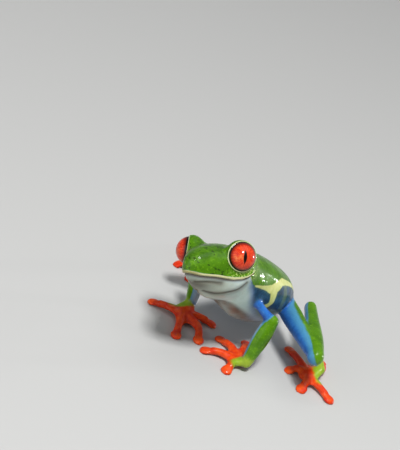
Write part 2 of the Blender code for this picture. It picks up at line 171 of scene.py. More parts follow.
def distances(path):
    """How far each point of a path lies from its first, going straight between points."""
    steps = np.linalg.norm(np.diff(path, axis=0), axis=1)
    return np.concatenate(([0], np.cumsum(steps)))


def ramp(value, start, stop):
    """0 before start, 1 after stop, and a smooth step between."""
    t = np.clip((value - start) / (stop - start), 0, 1)
    return t * t * (3 - 2 * t)


print("half way up a curve through 0, 1 and 4:", eased((0, 1, 2), (0, 1, 4), 1.5)[0])


# %% Rings and closed tubes
def ring_angles(sides):
    """Even angles round a ring, in radians."""
    return np.linspace(0, 2 * math.pi, sides, endpoint=False)


def rings_of(place, left, up, across, rise):
    """Place plus left times across plus up times rise, for every ring and point of it."""
    return place[:, None] + left[:, None] * across[..., None] + up[:, None] * rise[..., None]


def swept(place, forward, wide, high, sides):
    """Rings of an ellipse, half width sideways and half height upward, square to the path."""
    sideways = unit(np.cross((0, 0, 1), forward))
    a = ring_angles(sides)
    return rings_of(place, sideways, np.cross(forward, sideways), wide[:, None] * np.cos(a),
                    high[:, None] * np.sin(a))


def closed_tube(rings):
    """Points and faces of a grid of rings, each end closed by a fan round its middle."""
    rows, sides, _ = rings.shape
    k = np.arange(sides)
    after = (k + 1) % sides
    row = np.arange(rows - 1)[:, None] * sides
    quads = np.stack((row + k, row + after, row + sides + after, row + sides + k), axis=-1)
    points = np.vstack((rings.reshape(-1, 3), rings[0].mean(axis=0), rings[-1].mean(axis=0)))
    top = (rows - 1) * sides
    fans = [np.stack((after, k, np.full(sides, rows * sides)), axis=-1),
            np.stack((top + k, top + after, np.full(sides, rows * sides + 1)), axis=-1)]
    return points, quads.reshape(-1, 4).tolist() + fans[0].tolist() + fans[1].tolist()


print("a tube of 3 rings of 8 points has", len(closed_tube(np.zeros((3, 8, 3)))[1]), "faces")


# %% Pieces
def outward(mesh):
    """Turn every face of a closed mesh outwards."""
    bm = bmesh.new()
    bm.from_mesh(mesh)
    bmesh.ops.recalc_face_normals(bm, faces=bm.faces)
    bm.to_mesh(mesh)
    bm.free()


def added(name, data):
    """A new object of the scene."""
    thing = bpy.data.objects.new(name, data)
    bpy.context.scene.collection.objects.link(thing)
    return thing


def make_piece(name, parts):
    """One object in metres from a list of (points, faces) in millimetres."""
    points, faces, first = [], [], 0
    for part_points, part_faces in parts:
        points.append(part_points)
        faces += [[first + i for i in face] for face in part_faces]
        first += len(part_points)
    mesh = bpy.data.meshes.new(name)
    mesh.from_pydata((np.vstack(points) * MM).tolist(), [], faces)
    outward(mesh)
    return added(name, mesh)


# %% [markdown]
# ## The body and head
# One surface runs from the snout to the vent. Its cross-section is a rounded square on the
# back and narrows to a soft keel under the throat and belly. Over each eye the ring is
# pushed out to a sphere, which gives the raised brow of a tree frog. A sculpted block could
# give the same, but a table of half widths is easier to correct against a real animal.

# %% The line of the back and the half widths along it
SNOUT_REACH, SNOUT_DROP, NECK_REACH = 10.6, 0.9, 7.0
# behind the neck, seen from the middle of the head
BACK_LINE = ((0.8, 13.8, -4.6), (1.2, 22.6, -9.4), (1.0, 33.3, -15.2), (0.9, 40.1, -18.4))
NECK_AT, LOIN_AT, PELVIS_ROLL = 18.6, 38.0, 7.0
# distance from the snout, half width, height above and depth below the line
BODY_SHAPE = np.array((
    (0.0, 0.5, 0.9, 0.7), (0.6, 1.6, 2.3, 1.7), (1.8, 2.6, 3.5, 2.9), (3.4, 3.6, 4.2, 4.2),
    (5.6, 4.9, 4.9, 5.8), (8.2, 6.4, 5.3, 7.3), (11.0, 7.9, 5.5, 8.3), (14.0, 9.0, 5.5, 8.7),
    (17.0, 9.2, 5.3, 9.0), (20.0, 8.6, 5.4, 9.8), (25.5, 8.2, 6.0, 11.0), (34.0, 8.6, 6.4, 11.2),
    (42.0, 7.5, 5.9, 9.8), (48.5, 5.2, 4.2, 4.7), (52.8, 2.7, 2.3, 2.1), (54.3, 0.9, 0.8, 0.8)))
BACK_SQUARENESS, BELLY_SQUARENESS = 2.15, 1.8  # 2 is an ellipse, more is boxier
VENT_AT = BODY_SHAPE[-1, 0]
SLOPE_STEP = 0.2  # the line's direction is taken over this length
spine = np.vstack((HEAD + FORWARD * SNOUT_REACH - UP * SNOUT_DROP, HEAD, HEAD - FORWARD * NECK_REACH,
                   HEAD + np.array(BACK_LINE)))
spine_at = distances(spine)


def body_frames(at):
    """Place, forward, left and up at distances from the snout, with the roll easing out."""
    at = np.minimum(at, spine_at[-1])
    forward = unit(eased(spine_at, spine, at - SLOPE_STEP) - eased(spine_at, spine, at + SLOPE_STEP))
    flat = unit(np.cross((0, 0, 1), forward))
    turn = np.radians(HEAD_ROLL + (PELVIS_ROLL - HEAD_ROLL) * ramp(at, NECK_AT, LOIN_AT))[:, None]
    left = flat * np.cos(turn) + np.cross(forward, flat) * np.sin(turn)
    return eased(spine_at, spine, at), forward, left, np.cross(forward, left)


print("line of the back", round(spine_at[-1], 1), "mm long")


# %% The body's surface, raised over the eyes
ORBIT_WALL = 0.5
BROW_SOFTNESS, BROW_SINK = 1.2, 0.12
BROW_FALL, BROW_DEPTH = 3, 3


def over_eyes(place, points):
    """Push rings out along their rays to a sphere round each eye, blended into the skull."""
    for centre in eye_centre.values():
        radius = EYE_RADIUS + ORBIT_WALL
        ray = points - place[:, None]
        reach = np.linalg.norm(ray, axis=2)
        ray = ray / reach[..., None]
        to_eye = centre - place[:, None]
        along = (to_eye * ray).sum(axis=2)
        off = np.sqrt(np.maximum((to_eye**2).sum(axis=2) - along**2, 0))
        hit = along + np.sqrt(np.maximum(radius**2 - off**2, 0))
        hit = hit - BROW_FALL * np.maximum(off - radius, 0)
        blend = 0.5 * (reach + hit + np.sqrt((reach - hit)**2 + BROW_SOFTNESS)) - BROW_SINK
        reach = np.where(hit > reach - BROW_DEPTH, np.maximum(blend, reach), reach)
        points = place[:, None] + ray * reach[..., None]
    return points


def body_surface(rows=230, sides=160):
    """The cross-section cos^p, sin^p scaled by the half widths and carried along the back.

    Half of the spacing is even and half is a cosine's, which crowds the rings at both ends.
    """
    crowded = (1 - np.cos(np.linspace(0, math.pi, rows))) / 2
    at = VENT_AT * (0.5 * crowded + 0.5 * np.linspace(0, 1, rows))
    wide, high, deep = eased(BODY_SHAPE[:, 0], BODY_SHAPE[:, 1:], at).T
    place, forward, left, up = body_frames(at)
    a = ring_angles(sides)
    power = np.where(np.sin(a) >= 0, 2 / BACK_SQUARENESS, 2 / BELLY_SQUARENESS)
    across = np.sign(np.cos(a)) * np.abs(np.cos(a))**power
    rise = np.sign(np.sin(a)) * np.abs(np.sin(a))**power
    tall = np.where(rise > 0, high[:, None], deep[:, None]) * rise
    return closed_tube(over_eyes(place, rings_of(place, left, up, wide[:, None] * across, tall)))


body_part = body_surface()
print("body of", len(body_part[0]), "points")

# %% [markdown]
# ## Arms and legs
# Each limb is a round-ended tube between two joints, fuller where the muscle lies and
# slimmer towards the next joint. The joints come from the solids, so the skin's limbs run
# exactly where they do.

# %% Joints
GIRTH = {"upper_arm": (1.5, 1.15, 1.15, 1.5), "forearm": (1.85, 2.2, 2.2, 1.85, 1.5),
         "thigh": (2.7, 2.95, 2.7, 2.3, 1.95), "shank": (2.3, 2.6, 2.4, 2.0, 1.75),
         "tarsus": (1.4, 1.15, 1.1, 1.2)}
# a root, the joint after it, how far it runs on along the limb and sinks towards the spine
ROOTS = (("shoulder", "elbow", 2.0, 2.2), ("hip", "knee", 3.0, 0.0))
joint = {}
for side in SIDES:
    part = {name: f"{side}_{name}" for name in (*GIRTH, "hand", "foot")}
    joint[side, "shoulder"] = meeting(part["upper_arm"], "trunk")
    joint[side, "elbow"] = meeting(part["upper_arm"], part["forearm"])
    joint[side, "wrist"] = meeting(part["forearm"], part["hand"])
    joint[side, "hip"] = meeting(part["thigh"], "trunk")
    joint[side, "knee"] = far_end(part["thigh"], joint[side, "hip"], GIRTH["thigh"][-1])
    joint[side, "heel"] = far_end(part["shank"], joint[side, "knee"], GIRTH["shank"][-1])
    joint[side, "ankle"] = meeting(part["tarsus"], part["foot"])
    # the roots reach on into the body, so that the skin closes round them
    for root, next_joint, depth, sink in ROOTS:
        start = joint[side, root]
        inward = unit(start - joint[side, next_joint])
        joint[side, root] = start + inward * depth + unit(spine[3] - start) * sink
for (side, name), place in joint.items():
    print(f"{side:5s} {name:8s}", place.round(1))

# %% Limbs
FLATNESS = {"thigh": 0.92, "shank": 0.95}  # width over height
DOME = np.linspace(0.12, math.pi / 2, 7)[:-1]  # radians from the pole of a round end


def limb_surface(start, stop, girth, flatness=1.0, rows=36, sides=28):
    """Half width eased through the girths, with a quarter-circle dome beyond each joint."""
    axis = unit(stop - start)
    length = np.linalg.norm(stop - start)
    at = np.linspace(0, 1, rows)
    shaft = spaced(girth, at)
    along = np.concatenate((-girth[0] * np.cos(DOME), at * length,
                            length + girth[-1] * np.cos(DOME[::-1])))
    half = np.concatenate((girth[0] * np.sin(DOME), shaft, girth[-1] * np.sin(DOME[::-1])))
    place = start + axis * along[:, None]
    return closed_tube(swept(place, np.tile(axis, (len(place), 1)), half * flatness, half, sides))


LIMBS = (("upper_arm", "shoulder", "elbow"), ("forearm", "elbow", "wrist"),
         ("thigh", "hip", "knee"), ("shank", "knee", "heel"), ("tarsus", "heel", "ankle"))
limb_parts = [limb_surface(joint[side, a], joint[side, b], GIRTH[kind], FLATNESS.get(kind, 1.0))
              for side in SIDES for kind, a, b in LIMBS]
print(len(limb_parts), "limbs")

# %% [markdown]
# ## Hands and feet
# A palm or sole is a low pad, and each digit arches from it to a round disc that lies flat
# on the floor. Thin webs join the roots of neighbouring digits.

# %% Pads
PALM_WIDTH, PALM_HEIGHT, FLOOR_PRESS = 3.1, 1.25, 0.16
PAD_WIDTHS = (1.3, 2.3, PALM_WIDTH, 1.2)  # at the joint, half way, at the middle, in front
PAD_HEIGHTS = (1.1, 1.2, PALM_HEIGHT, 0.7)
PAD_MIDDLE = PALM_HEIGHT - FLOOR_PRESS
PAD_FRONT = PALM_WIDTH * 0.8  # the front lies this far past the middle
HEEL_RISE = 1.5  # lowest the pad's line may run behind the middle
PAWS = (("hand", "wrist", "finger", 4), ("foot", "ankle", "toe", 5))
paws = []
for side in SIDES:
    for kind, end, digit, count in PAWS:
        start = joint[side, end]
        middle = far_end(f"{side}_{kind}", start, PAD_FRONT)
        middle[2] = PAD_MIDDLE
        paws.append({"side": side, "kind": kind, "joint": start, "middle": middle,
                     "digits": [f"{side}_{digit}_{k}" for k in range(1, count + 1)]})


def pad_surface(paw, rows=26, sides=28):
    """An ellipse from the wrist or ankle, widest at the middle of the pad, carried forward."""
    start, middle = paw["joint"], paw["middle"]
    via = (start + middle) / 2
    via[2] = max(via[2], HEEL_RISE)
    front = middle + unit((middle - start) * (1, 1, 0)) * PAD_FRONT
    path = np.vstack((start, via, middle, front))
    keys = distances(path)
    at = np.linspace(0, keys[-1], rows)
    wide = eased(keys, PAD_WIDTHS, at)
    high = eased(keys, PAD_HEIGHTS, at)
    place = eased(keys, path, at)
    return closed_tube(swept(place, unit(np.gradient(place, axis=0)), wide, high, sides))


pad_parts = [pad_surface(paw) for paw in paws]
print(len(pad_parts), "pads")

# %% Digits
DIGIT_GIRTH = (1.4, 1.25, 1.1, 1.0, 1.1)
DIGIT_FLATNESS = 0.95  # height over width
DIGIT_ARCH, DISC_RADIUS, DISC_HEIGHT = 0.55, 1.6, 0.68
BEND_AT, BEND_BAND = 0.55, 1.1  # share of the reach, and mm to both sides of it
BEND_RISE = 0.75  # share of the height of the pad's middle
SHAFT_STOP = 0.9 * DISC_RADIUS
DISC_TURN = np.linspace(math.radians(42), math.radians(172), 16)
DISC_BULGE = 0.5  # under 1 keeps the disc high towards its rim
DISC_LEVEL = 0.5  # share of the digit's slope that its rings keep


def digit_path(name, middle):
    """Palm, bend and tip of a digit: the tip is a disc's radius inside its solid's far corner."""
    low, high = (np.array(c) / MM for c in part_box(name))
    toward = (low + high) / 2 - middle
    tip = np.where(toward > 0, high - DISC_RADIUS, low + DISC_RADIUS)
    reach = np.linalg.norm(solid[name][:, :2] - middle[:2], axis=1)
    half = np.abs(reach - BEND_AT * reach.max()) < BEND_BAND
    bend = solid[name][half].mean(axis=0)
    return np.array((middle, (*bend[:2], PAD_MIDDLE * BEND_RISE + DIGIT_ARCH),
                     (*tip[:2], DISC_HEIGHT - FLOOR_PRESS)))


def digit_surface(path, rows=34, sides=24):
    """Half widths eased along the digit, then a round disc whose edge is a blunt half circle."""
    keys = distances(path)
    total = keys[-1]
    shaft = np.linspace(0, total - SHAFT_STOP, rows)
    girth = spaced(DIGIT_GIRTH, shaft / shaft[-1])
    at = np.concatenate((shaft[:-1], total - DISC_RADIUS * np.cos(DISC_TURN)))
    wide = np.concatenate((girth[:-1], DISC_RADIUS * np.sin(DISC_TURN)))
    high = np.concatenate((girth[:-1] * DIGIT_FLATNESS, DISC_HEIGHT * np.sin(DISC_TURN)**DISC_BULGE))
    place = eased(keys, path, at) + unit(path[2] - path[1]) * np.maximum(at - total, 0)[:, None]
    forward = unit(unit(np.gradient(place, axis=0)) * (1, 1, DISC_LEVEL))
    return closed_tube(swept(place, forward, wide, high, sides))


digit_paths = {name: digit_path(name, paw["middle"]) for paw in paws for name in paw["digits"]}
digit_parts = [digit_surface(path) for path in digit_paths.values()]
print(len(digit_parts), "digits")

# %% Webs
WEB_REACH = {"hand": 0.80, "foot": 0.88}  # share of a digit's length
WEB_SCALLOP = 0.35  # how far the free edge is drawn in
WEB_THICKNESS, WEB_INSET = 0.60, 0.04


def web_surface(a, b, reach, rows=10, sides=12):
    """A thin cushion between two digits' paths, its free edge drawn in like a curtain."""
    across = np.linspace(WEB_INSET, 1 - WEB_INSET, rows)
    drawn = reach * (1 - WEB_SCALLOP * np.sin(across * math.pi))
    side_a, side_b = (eased((0, BEND_AT, 1), path, drawn) for path in (a, b))
    edge = side_a * (1 - across)[:, None] + side_b * across[:, None]
    turn = ring_angles(sides)
    middle = (edge + a[0]) / 2
    half = (edge - a[0]) / 2
    return closed_tube(middle[:, None] + half[:, None] * np.cos(turn)[None, :, None]
                       + np.array((0, 0, WEB_THICKNESS / 2)) * np.sin(turn)[None, :, None])


# only digits less than a right angle apart share a web
web_parts = []
for paw in paws:
    heading = {name: digit_paths[name][1] - paw["middle"] for name in paw["digits"]}
    around = sorted(paw["digits"], key=lambda name: math.atan2(heading[name][1], heading[name][0]))
    for a, b in zip(around, around[1:] + around[:1]):
        if heading[a] @ heading[b] > 0:
            web_parts.append(web_surface(digit_paths[a], digit_paths[b], WEB_REACH[paw["kind"]]))
print(len(web_parts), "webs")

# %% [markdown]
# ## One skin
# The tubes overlap, and a real frog has a single skin. A voxel remesh rebuilds all of them
# as one closed surface. Its grid leaves small steps and sharp valleys, so every vertex is
# then moved towards the mean of its neighbours: a little everywhere, and more where limbs
# join, which draws the skin across the armpits and groins as real skin is.

# %% Welding the tubes
VOXEL = 0.385  # mm; the skin stays under 200,000 triangles
skin = make_piece("skin", [body_part] + limb_parts + pad_parts + digit_parts + web_parts)
weld = skin.modifiers.new("weld", "REMESH")
weld.mode = "VOXEL"
weld.voxel_size = VOXEL * MM
weld.adaptivity = 0


def settle(thing):
    """Replace an object's mesh by what its modifiers make of it."""
    shown = thing.evaluated_get(bpy.context.evaluated_depsgraph_get())
    mesh = bpy.data.meshes.new_from_object(shown)
    thing.modifiers.clear()
    thing.data = mesh
    return mesh


mesh = settle(skin)
print("skin after welding:", len(mesh.vertices), "vertices")


# %% Reading, writing and smoothing a mesh
def rows_of(items, key, width, kind=float):
    """A property of all vertices or edges as the rows of one array."""
    values = np.empty(len(items) * width, dtype=kind)
    items.foreach_get(key, values)
    return values.reshape(-1, width)


def points_of(mesh):
    return rows_of(mesh.vertices, "co", 3) / MM


def put_points(mesh, points):
    mesh.vertices.foreach_set("co", (points * MM).ravel())
    mesh.update()


def normals_of(mesh):
    return rows_of(mesh.vertices, "normal", 3)


def edges_of(mesh):
    return rows_of(mesh.edges, "vertices", 2, np.int32)


STEP_BACK = 1.05  # of the step forward


def to_mean(points, edges):
    """Step from each point to the mean of its neighbours."""
    ends = np.concatenate((edges[:, 0], edges[:, 1]))
    others = np.concatenate((edges[:, 1], edges[:, 0]))
    count = np.maximum(np.bincount(ends, minlength=len(points)), 1)[:, None]
    total = np.stack([np.bincount(ends, points[others, k], len(points)) for k in range(3)], axis=1)
    return total / count - points


def relaxed(points, edges, weight, times):
    """Smooth by steps towards the mean, each followed by a slightly longer step back.

    Small ripples go, and the girth of a limb stays.
    """
    for _ in range(times):
        points = points + to_mean(points, edges) * weight
        points = points - to_mean(points, edges) * (weight * STEP_BACK)
    return points


def filled(mesh, points, edges, weight, times):
    """Step towards the mean only in hollows, where that step leads out of the skin."""
    for _ in range(times):
        put_points(mesh, points)
        step = to_mean(points, edges)
        out = np.maximum((step * normals_of(mesh)).sum(axis=1), 0)[:, None]
        points = points + normals_of(mesh) * out * weight
    return points


points = points_of(mesh)
print("box in mm", points.min(axis=0).round(1), points.max(axis=0).round(1))

# %% Drawing the skin over the joins
JOIN_REACH = {"shoulder": 7.0, "hip": 4.5, "elbow": 2.2, "heel": 2.2, "wrist": 2.0, "ankle": 2.0}
PAW_REACH = 3.2
EVEN_WEIGHT, EVEN_TIMES = 0.5, 2
FILL_WEIGHT, FILL_TIMES = 0.9, 15
joins = np.array([joint[side, name] for side in SIDES for name in JOIN_REACH]
                 + [paw["middle"] for paw in paws])
reach = np.array([*JOIN_REACH.values()] * len(SIDES) + [PAW_REACH] * len(paws))
share = np.linalg.norm(points[:, None] - joins[None], axis=2) / reach
near = np.max(ramp(-share, -1.0, -0.5), axis=1)[:, None]
edges = edges_of(mesh)
points = relaxed(points, edges, EVEN_WEIGHT, EVEN_TIMES)
points = filled(mesh, points, edges, FILL_WEIGHT * near, FILL_TIMES)
points = relaxed(points, edges, EVEN_WEIGHT, EVEN_TIMES)
put_points(mesh, points)
print("skin drawn over", len(joins), "joins")

# %% [markdown]
# ## A finer head
# The lids, lips and nostrils are smaller than the grid of the weld, so the faces of the
# head are divided once more before they are shaped.

# %% Dividing the head's faces
HEAD_BACK, HEAD_LOW, HEAD_HALF, HEAD_FADE = -9.0, -9.5, 12.5, 1.5
HEAD_TIMES = 3


def divide_faces(mesh, inside):
    """Halve every edge whose two ends are inside, and join the new points as a grid."""
    bm = bmesh.new()
    bm.from_mesh(mesh)
    chosen = [e for e in bm.edges if inside[e.verts[0].index] and inside[e.verts[1].index]]
    bmesh.ops.subdivide_edges(bm, edges=chosen, cuts=1, use_grid_fill=True)
    bm.to_mesh(mesh)
    bm.free()
    return points_of(mesh), edges_of(mesh)


f, l, u = on_head(points)
points, edges = divide_faces(mesh, (f > HEAD_BACK) & (u > HEAD_LOW) & (np.abs(l) < HEAD_HALF))
f, l, u = on_head(points)
on_face = (ramp(f, HEAD_BACK, HEAD_BACK + HEAD_FADE) * ramp(u, HEAD_LOW, HEAD_LOW + HEAD_FADE))[:, None]
points = relaxed(points, edges, EVEN_WEIGHT * on_face, HEAD_TIMES)
put_points(mesh, points)
print("skin with a finer head:", len(points), "vertices")


# %% [markdown]
# ## Lids, mouth and nostrils
# The lids are the skin itself: round each eye, a vertex's distance from the eyeball's centre
# follows a profile of its angle from the middle of the opening. In front of the eye the skin
# dives inside the eyeball, at the rim it turns over as a soft bead, and further back it runs
# into the brow. The mouth is a fine groove with a fuller upper lip above it. Ridges, creases and
# folds are stated in the same way, as a rise or a fall along the skin's own normal.

# %% Eyelids
LIDS_TURN, LIDS_TILT = 57.0, 4.0  # degrees out from the snout, and up
LID_ANGLE = 77.0  # of the rim, from the middle of the opening
LID_BAND, LID_DEPTH = 11, 1.6  # degrees and mm round the rim with finer faces
LID_FADE = LID_ANGLE + np.array((8, 24))
LID_LIFT = EYE_RADIUS + np.array((1.8, 2.6))
LID_KEYS = LID_ANGLE + np.array((-77, -10, -4, -1, 1.5, 4, 9, 16, 28))
LID_RISE = (-0.9, -0.75, -0.38, -0.02, 0.20, 0.30, 0.36, 0.42, 0.60)  # mm outside the eyeball
side_sign = {"left": 1, "right": -1}


def looking(side, turn, tilt):
    """A direction turned out from the snout by degrees and then tilted up."""
    turn, tilt = math.radians(turn), math.radians(tilt)
    flat = FORWARD * math.cos(turn) + LEFT * (side_sign[side] * math.sin(turn))
    return flat * math.cos(tilt) + UP * math.sin(tilt)


def around_eye(points, side):
    """Distance from the eyeball's centre and angle from the middle of the lids, in degrees."""
    away = points - eye_centre[side]
    reach = np.linalg.norm(away, axis=1)
    middle = looking(side, LIDS_TURN, LIDS_TILT)
    return reach, np.degrees(np.arccos(np.clip(away @ middle / reach, -1, 1)))


# the rim of a lid is finer still, so its faces are divided once more
at_lid = np.zeros(len(points), dtype=bool)
for side in SIDES:
    reach, angle = around_eye(points, side)
    at_lid |= (np.abs(angle - LID_ANGLE) < LID_BAND) & (np.abs(reach - EYE_RADIUS) < LID_DEPTH)
points, edges = divide_faces(mesh, at_lid)
for side in SIDES:
    reach, angle = around_eye(points, side)
    target = EYE_RADIUS + eased(LID_KEYS, LID_RISE, angle)
    hold = (1 - ramp(angle, *LID_FADE)) * (1 - ramp(reach, *LID_LIFT))
    wanted = reach * (1 - hold) + target * hold
    points = eye_centre[side] + (points - eye_centre[side]) * (wanted / reach)[:, None]
put_points(mesh, points)
print("faces round the lids:", int(at_lid.sum()), "points divided once more")

# %% Mouth, nostrils and eardrums
# the line of the mouth, forward of the head's middle and above it
MOUTH_F = (-9.0, -7.0, -5.5, -4.5, -3.3, -1.5, 1.0, 4.0, 8.0, 10.8)
MOUTH_U = (0.6, -0.2, -1.2, -1.9, -2.4, -2.7, -2.75, -2.45, -2.3, -1.8)
JAW_CORNER, JAW_FADE = -6.4, 1.2


def above_mouth(points):
    """Height over the line of the mouth, and how surely a point is between its corners."""
    f, l, u = on_head(points)
    return u - eased(MOUTH_F, MOUTH_U, f), ramp(f, JAW_CORNER, JAW_CORNER + JAW_FADE)


def bell(distance, width):
    return np.exp(-(distance / width)**2)


def relief(distance, bells):
    """Sum of bells over a distance, each with its rise, its middle and its width."""
    return sum(rise * bell(distance - middle, width) for rise, middle, width in bells)


def from_spot(points, spot, sign):
    """Distance from a spot given forward, left and up on the head, or from its mirror image."""
    return np.linalg.norm(np.stack(on_head(points), axis=1) - np.array(spot) * (1, sign, 1), axis=1)


LIP_RELIEF = ((0.16, 0.45, 0.42), (-0.34, -0.02, 0.16), (-0.10, -0.6, 0.5))
NOSTRIL, NOSTRIL_RELIEF = (9.6, 1.15, 1.9), ((0.14, 0.5, 0.25), (-0.42, 0.0, 0.26))
EARDRUM, EARDRUM_RELIEF = (-6.6, 8.9, -0.4), ((0.10, 1.5, 0.25), (-0.08, 0.0, 1.0))
height, sure = above_mouth(points)
push = sure * relief(height, LIP_RELIEF)
for sign in (1, -1):
    push += relief(from_spot(points, NOSTRIL, sign), NOSTRIL_RELIEF)
    push += relief(from_spot(points, EARDRUM, sign), EARDRUM_RELIEF)
print("pushed in", round(push.min(), 2), "and out", round(push.max(), 2), "mm at most")

# %% Ridges of the snout and creases of the throat
RIDGE_F, RIDGE_L = (-1.0, 3.0, 9.0), (6.2, 4.3, 1.9)
RIDGE_RISE, RIDGE_WIDTH = 0.20, 0.9
f, l, u = on_head(points)
ridge = np.abs(l) - eased(RIDGE_F, RIDGE_L, f)
fade = ramp(f, 1.5, 4.0) * (1 - ramp(f, 8.0, 9.5)) * ramp(u, 1.2, 3.0)
push += RIDGE_RISE * bell(ridge, RIDGE_WIDTH) * fade

CREASE_DEPTH, CREASE_WIDTH, SHADE_WIDTH = 0.20, 0.35, 1.1
THROAT_CREASES = (((7.7, 0.8, -4.0), (5.4, 3.2, -3.9), (2.6, 5.2, -4.0)),
                  ((4.0, 1.0, -6.1), (1.2, 3.0, -6.7), (-1.1, 5.0, -6.2), (-3.3, 6.5, -5.3),
                   (-4.6, 8.2, -3.6)))
throat_crease = np.zeros(len(points))
throat_shade = np.zeros(len(points))
spots = np.stack((f, l, u), axis=1)[:, None]
for line in THROAT_CREASES:
    for sign in (1, -1):
        track = np.array(line) * (1, sign, 1)
        fine_track = spaced(track, np.linspace(0, 1, 60))
        away = np.min(np.linalg.norm(spots - fine_track[None], axis=2), axis=1)
        throat_crease = np.maximum(throat_crease, bell(away, CREASE_WIDTH))
        throat_shade = np.maximum(throat_shade, bell(away, SHADE_WIDTH))
push -= CREASE_DEPTH * throat_crease
print("creases on", int((throat_crease > 0.5).sum()), "points")

# %% A fold of skin over each shoulder blade
BLADE_AT, BLADE_DEG, BLADE_OUT, BLADE_RISE = 23.3, -12.0, 8.4, 0.65
BLADE_LONG, BLADE_TALL, BLADE_THICK = 3.0, 1.5, 4.0
WRINKLE, WRINKLE_ALONG, WRINKLE_UP = 0.16, 4.6, 2.2
place, forward, left, up = (rows[0] for rows in body_frames(np.array([BLADE_AT])))
slope = math.radians(BLADE_DEG)
for sign in (1, -1):
    away = points - place - (left * sign * math.cos(slope) + up * math.sin(slope)) * BLADE_OUT
    along, off = away @ forward, away @ up
    wrinkles = 1 + WRINKLE * np.cos(WRINKLE_ALONG * along + WRINKLE_UP * off)
    fold = bell(along, BLADE_LONG) * bell(off, BLADE_TALL) * bell(away @ left, BLADE_THICK)
    push += BLADE_RISE * wrinkles * fold
put_points(mesh, points + normals_of(mesh) * push[:, None])
print("the skin is out by", round(push.max(), 2), "mm at most")

# %% [markdown]
# ## Resting on the floor
# Pads and discs are pressed flat where they touch the floor, as the solids are. The weld's
# grid leaves their outlines a little ragged, so the low skin is smoothed first.

# %% Pressing the pads flat
LOW_SKIN, LOW_FADE, TOUCH = 0.7, 1.5, 0.02  # heights over the floor
LOW_WEIGHT, LOW_TIMES = 0.6, 5
points = points_of(mesh)
low = 1 - ramp(points[:, 2], LOW_SKIN, LOW_FADE)
points = relaxed(points, edges, LOW_WEIGHT * low[:, None], LOW_TIMES)
points[:, 2] = np.where(points[:, 2] < TOUCH, 0.0, points[:, 2])
put_points(mesh, points)
print("lowest point", round(points[:, 2].min(), 3))

# %% [markdown]
# ## Where each point lies on the animal
# Markings follow the anatomy: so far behind the snout, so far round the flank, on the outer
# side of a limb. For every point the nearest station of the back and the nearest place on
# each limb are found, and a soft vote between these parts makes their borders blend.

# %% Body and limb coordinates
points = points_of(mesh)
stations = np.linspace(0, VENT_AT, 160)
station_place = body_frames(stations)[0]
gap = (station_place**2).sum(axis=1)[None] - 2 * points @ station_place.T
snout_distance = stations[gap.argmin(axis=1)]
for _ in range(2):
    place, forward, left, up = body_frames(snout_distance)
    ahead = ((points - place) * forward).sum(axis=1)
    snout_distance = np.clip(snout_distance - ahead, 0, VENT_AT)
place, forward, left, up = body_frames(snout_distance)
across = ((points - place) * left).sum(axis=1)
rise = ((points - place) * up).sum(axis=1)
round_flank = np.degrees(np.arctan2(rise, np.abs(across)))
wide, high, deep = eased(BODY_SHAPE[:, 0], BODY_SHAPE[:, 1:], snout_distance).T
tall = np.where(rise > 0, high, deep)
power = np.where(rise > 0, BACK_SQUARENESS, BELLY_SQUARENESS)
girth_here = ((np.abs(np.cos(np.radians(round_flank))) / wide)**power
              + (np.abs(np.sin(np.radians(round_flank))) / tall)**power)**(-1 / power)
off_body = np.hypot(across, rise) - girth_here
print("furthest from the snout:", round(snout_distance.max(), 1), "mm")


def on_limb(points, start, stop, girth):
    """Share of the way along a limb, direction out from its axis, and gap to its surface."""
    axis = unit(stop - start)
    length = np.linalg.norm(stop - start)
    along = np.clip((points - start) @ axis / length, 0, 1)
    away = points - start - axis * (along * length)[:, None]
    reach = np.linalg.norm(away, axis=1)
    radius = spaced(girth, along)
    return along, away / np.maximum(reach, 1e-6)[:, None], reach - radius


# %% [markdown]
# ## Fields of colour
# Each marking is a field: millimetres inside its edge where positive, outside where
# negative. The material cuts every field at zero with a little noise, so an edge stays as
# crisp as on the live animal whatever the size of the faces.

# %% How the parts vote
OUTSIDE = -2.0
VOTE_REACH, VOTE_FLOOR = 0.4, -0.5
fields = ("green", "yellow", "orange", "pale", "limb")
total = {name: np.zeros(len(points)) for name in fields}
vote_sum = np.zeros(len(points))


def vote(gap, **field):
    """Add one part's fields, weighted by how near its surface is."""
    weight = np.exp(-np.maximum(gap, VOTE_FLOOR) / VOTE_REACH)
    vote_sum[:] += weight
    for name in fields:
        total[name] += weight * field.get(name, OUTSIDE)


print("fields to vote on:", ", ".join(fields))

# %% The vote of the body
# the lower edge of the green, in degrees round the flank at distances from the snout
GREEN_EDGE_S = (0.0, 13.0, 15.5, 17.5, 20.7, 22.8, 25.3, 27.8,
                29.4, 30.6, 32.3, 34.6, 37.0, 41.0, 46.0, 54.3)
GREEN_EDGE_DEG = (-8.0, -8.0, -13.0, -19.0, -22.0, -16.5, -11.5, -5.0,
                  3.0, 10.0, 18.0, 24.0, 29.0, 31.0, 27.0, 18.0)
FLANK_MM = 0.13  # of a degree round the flank
LIP_WIDTH, PALE_START = 0.62, 0.1  # mm over the line of the mouth
height, sure = above_mouth(points)
f, l, u = on_head(points)
green_edge = eased(GREEN_EDGE_S, GREEN_EDGE_DEG, snout_distance)
flank_edge = (round_flank - green_edge) * FLANK_MM
face = 1 - ramp(snout_distance, 14.5, 16.5)
green_body = face * (height - LIP_WIDTH) + (1 - face) * flank_edge
PALE_EDGE_S = (0.0, 15.0, 17.0, 19.5, 21.8, 24.0, 26.5, 30.0, 54.3)
PALE_EDGE_DEG = (-4.0, -4.0, -24.0, -33.0, -40.0, -50.0, -57.0, -62.0, -50.0)
pale_edge = eased(PALE_EDGE_S, PALE_EDGE_DEG, snout_distance)
pale_body = face * (PALE_START - height) + (1 - face) * (pale_edge - round_flank) * FLANK_MM
vote(off_body, green=green_body, pale=pale_body, limb=0.0)
